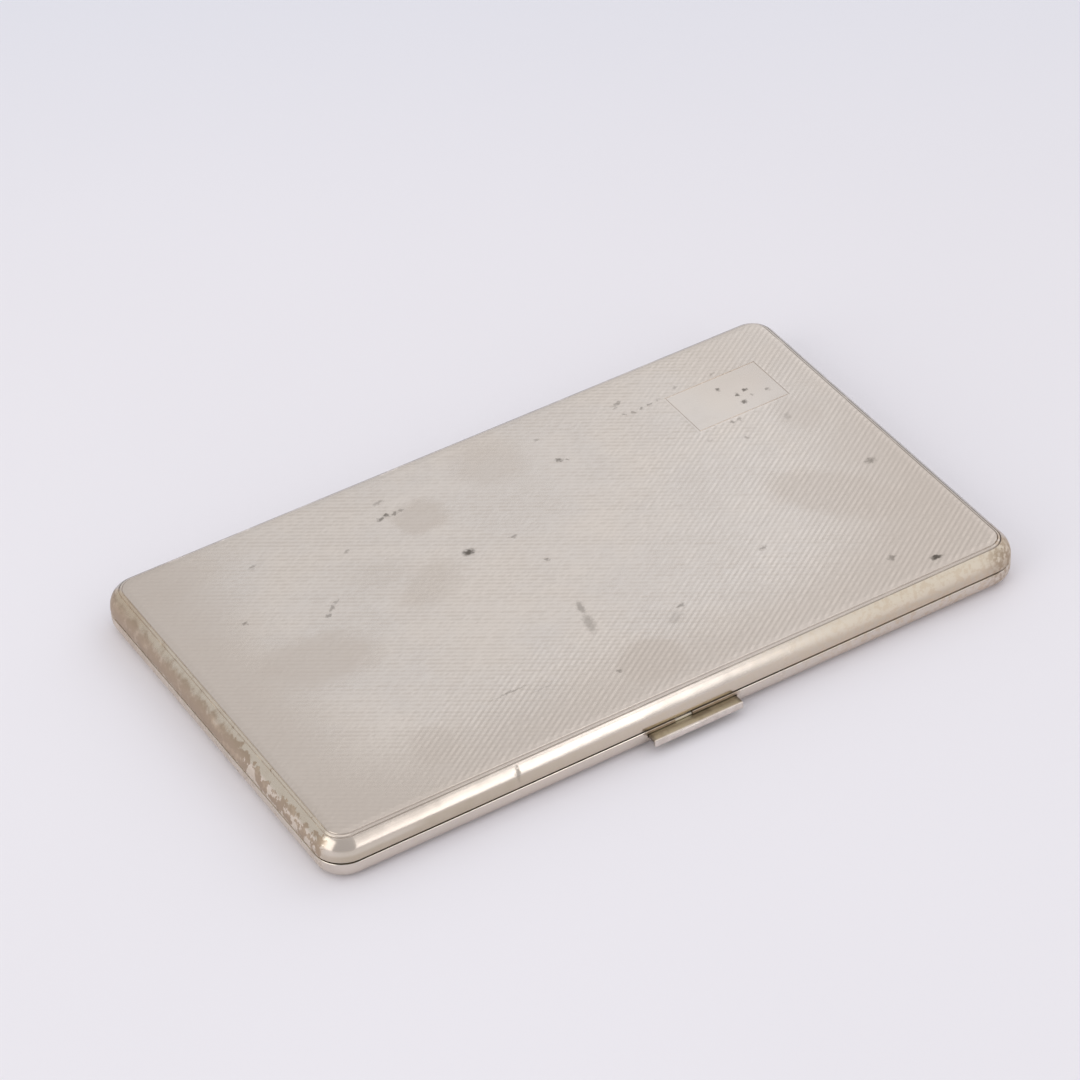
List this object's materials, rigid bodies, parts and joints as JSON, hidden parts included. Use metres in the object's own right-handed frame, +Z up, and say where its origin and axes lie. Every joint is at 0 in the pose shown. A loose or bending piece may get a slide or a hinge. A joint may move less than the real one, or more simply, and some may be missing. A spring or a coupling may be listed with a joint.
{
  "type": "cigarette case",
  "caption": "Slim rectangular cigarette case with a hinged engine-turned lid, engraved border, blank cartouche, sprung thumb bar and an elastic band inside.",
  "frame": {"origin": "on the table under the middle of the case body, at the middle of the flat bottom face", "axes": "+X along the long side, +Y towards the hinge, +Z up through the closed lid; the thumb bar is at -Y"},
  "size_m": [0.14, 0.086, 0.0086],
  "materials": {
    "silver_plate": "worn silver plate on nickel silver, polished edges, engine-turned panel",
    "gilt_metal": "gilt wash, satin",
    "spring_steel": "plain spring metal",
    "elastic": "ribbed woven elastic"
  },
  "bodies": {
    "base": {"base_shell": "silver_plate", "base_rim_strip_left": "gilt_metal", "base_rim_strip_right": "gilt_metal", "base_rim_strip_front_left": "gilt_metal", "base_rim_strip_front_right": "gilt_metal", "base_hinge_knuckle_1": "silver_plate", "base_hinge_knuckle_2": "silver_plate", "base_hinge_knuckle_3": "silver_plate", "base_hinge_knuckle_4": "silver_plate", "hinge_pin": "spring_steel", "catch_spring": "spring_steel", "elastic_band": "elastic", "band_clip_left": "gilt_metal", "band_clip_right": "gilt_metal", "band_clip_rivet_1": "gilt_metal", "band_clip_rivet_2": "gilt_metal", "band_clip_rivet_3": "gilt_metal", "band_clip_rivet_4": "gilt_metal"},
    "lid": {"lid_shell": "silver_plate", "lid_hinge_knuckle_1": "silver_plate", "lid_hinge_knuckle_2": "silver_plate", "lid_hinge_knuckle_3": "silver_plate", "lid_catch_plate": "gilt_metal"},
    "press_bar": {"thumb_bar": "silver_plate", "catch_hook": "silver_plate"}
  },
  "joints": [
    {"name": "lid_hinge", "type": "hinge", "parent": "base", "child": "lid", "pos_m": [0, 0.0412, 0.0039], "axis": [-1, 0, 0], "range_deg": [0, 150]},
    {"name": "thumb_bar_press", "type": "slide", "parent": "base", "child": "press_bar", "axis": [0, 1, 0], "range_m": [0, 0.0009], "stiffness_N_per_m": 3000, "deforming": ["catch_spring"]}
  ]
}
